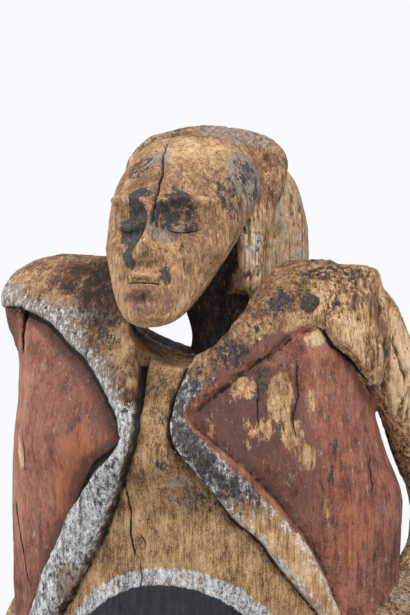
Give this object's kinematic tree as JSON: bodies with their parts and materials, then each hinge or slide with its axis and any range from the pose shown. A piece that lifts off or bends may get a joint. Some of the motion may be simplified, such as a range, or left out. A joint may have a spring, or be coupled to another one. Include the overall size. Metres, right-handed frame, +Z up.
{
  "type": "ancestor figure",
  "caption": "Standing carved wooden figure, bowed hooded head over a notch between broad shoulders, raised bands round the belly, hands on the belly, bent legs and a low round base.",
  "frame": {"origin": "centre of the base's flat underside", "axes": "+Z up along the log, the figure faces -Y, +X is the figure's own left"},
  "size_m": [0.4583, 0.3328, 1.165],
  "materials": {
    "painted_wood": "weathered bare wood with worn ochre, brick red, black and white paint"
  },
  "bodies": {
    "root": {"figure": "painted_wood"}
  },
  "joints": []
}
